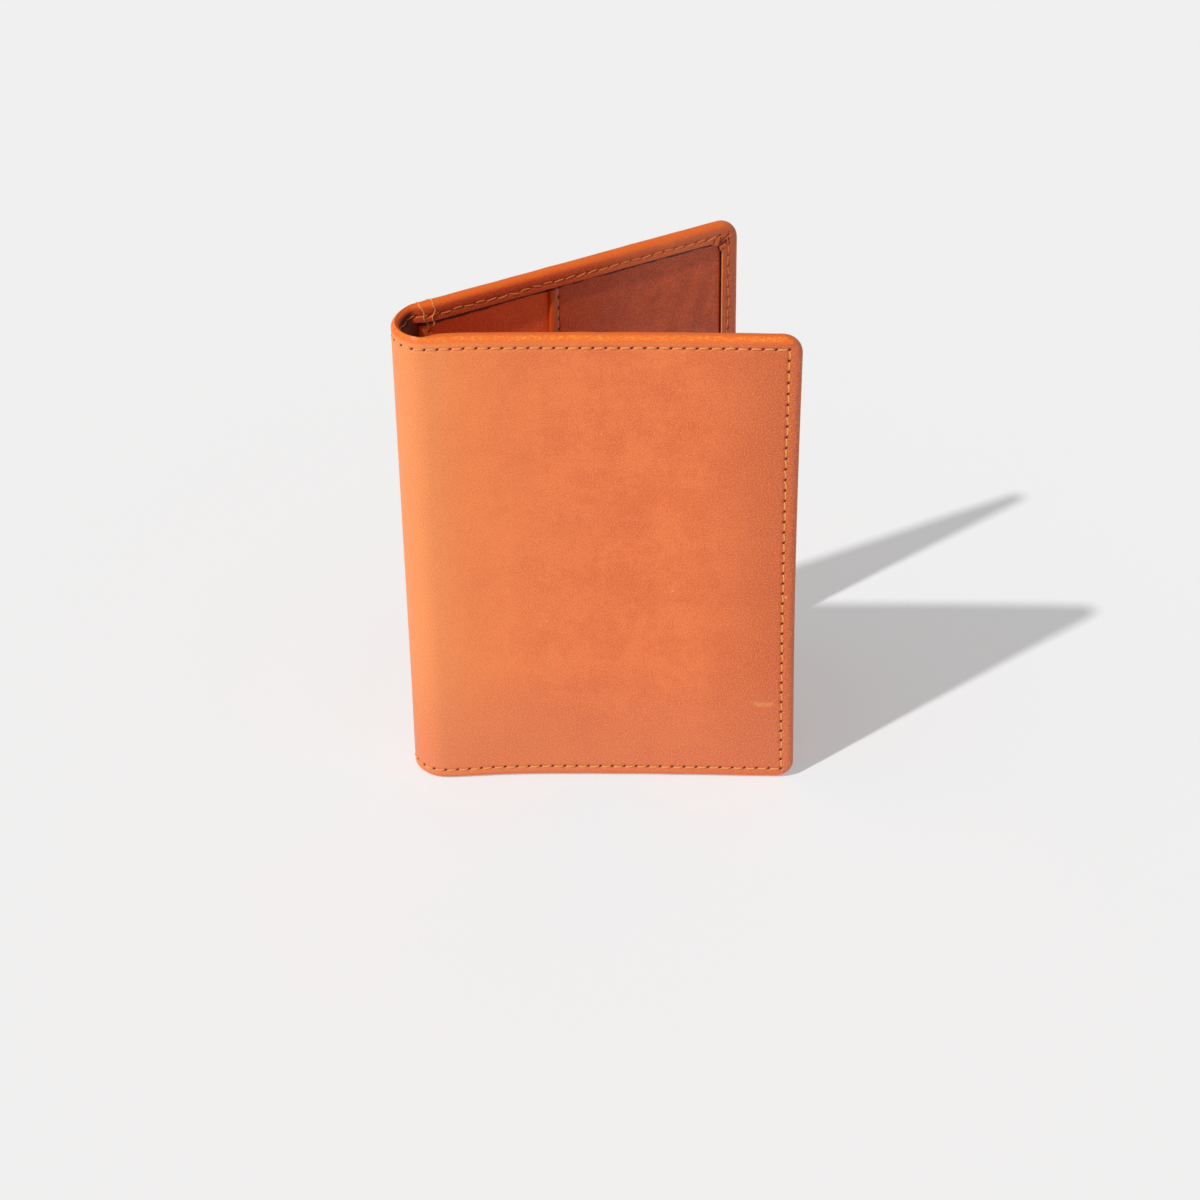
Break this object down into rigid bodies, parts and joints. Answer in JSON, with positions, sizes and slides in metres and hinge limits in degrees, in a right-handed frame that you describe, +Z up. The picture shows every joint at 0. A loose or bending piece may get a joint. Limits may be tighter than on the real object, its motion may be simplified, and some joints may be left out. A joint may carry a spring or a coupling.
{
  "type": "bifold wallet",
  "caption": "Tall passport-size leather bifold wallet with turned, stitched edges and two open pockets inside each panel.",
  "frame": {"origin": "middle of the standing wallet's footprint, at the level of its bottom edge", "axes": "+Z up along the fold, -Y out of the front panel's outer face, -X towards the fold"},
  "size_m": [0.103, 0.0632, 0.14],
  "materials": {
    "cover_leather": "smooth full-grain, semi-matt, lightly worn",
    "pocket_leather": "smooth, semi-matt, softly creased",
    "lining": "matt woven lining",
    "board": "matt pressed fibre board",
    "thread": "waxed polyester thread, satin"
  },
  "bodies": {
    "front_panel": {"front_board": "board", "front_card_pocket": "pocket_leather", "front_card_pocket_seam": "thread", "front_cover": "cover_leather", "front_inner_seam": "thread", "front_outer_seam": "thread", "front_pocket_lining": "lining", "front_slip_pocket": "pocket_leather", "front_slip_pocket_seam": "thread"},
    "fold": {"fold_cover": "cover_leather", "fold_inner_seam": "thread", "fold_lining": "lining", "fold_outer_seam": "thread"},
    "rear_panel": {"rear_board": "board", "rear_card_pocket": "pocket_leather", "rear_card_pocket_seam": "thread", "rear_cover": "cover_leather", "rear_edge_wraps": "thread", "rear_inner_seam": "thread", "rear_outer_seam": "thread", "rear_pocket_lining": "lining", "rear_slip_pocket": "pocket_leather", "rear_slip_pocket_seam": "thread"}
  },
  "joints": [
    {"name": "front_fold", "type": "hinge", "parent": "front_panel", "child": "fold", "pos_m": [-0.04839, -0.03028, 0.07], "axis": [0, 0, 1], "range_deg": [-16.8, 75], "deforming": ["fold_cover", "fold_inner_seam", "fold_lining", "fold_outer_seam"]},
    {"name": "rear_fold", "type": "hinge", "parent": "fold", "child": "rear_panel", "pos_m": [-0.05144, -0.0189, 0.07], "axis": [0, 0, 1], "range_deg": [-16.8, 75]}
  ],
  "couplings": [
    {"joint": "rear_fold", "follows": "front_fold", "ratio": 1}
  ]
}
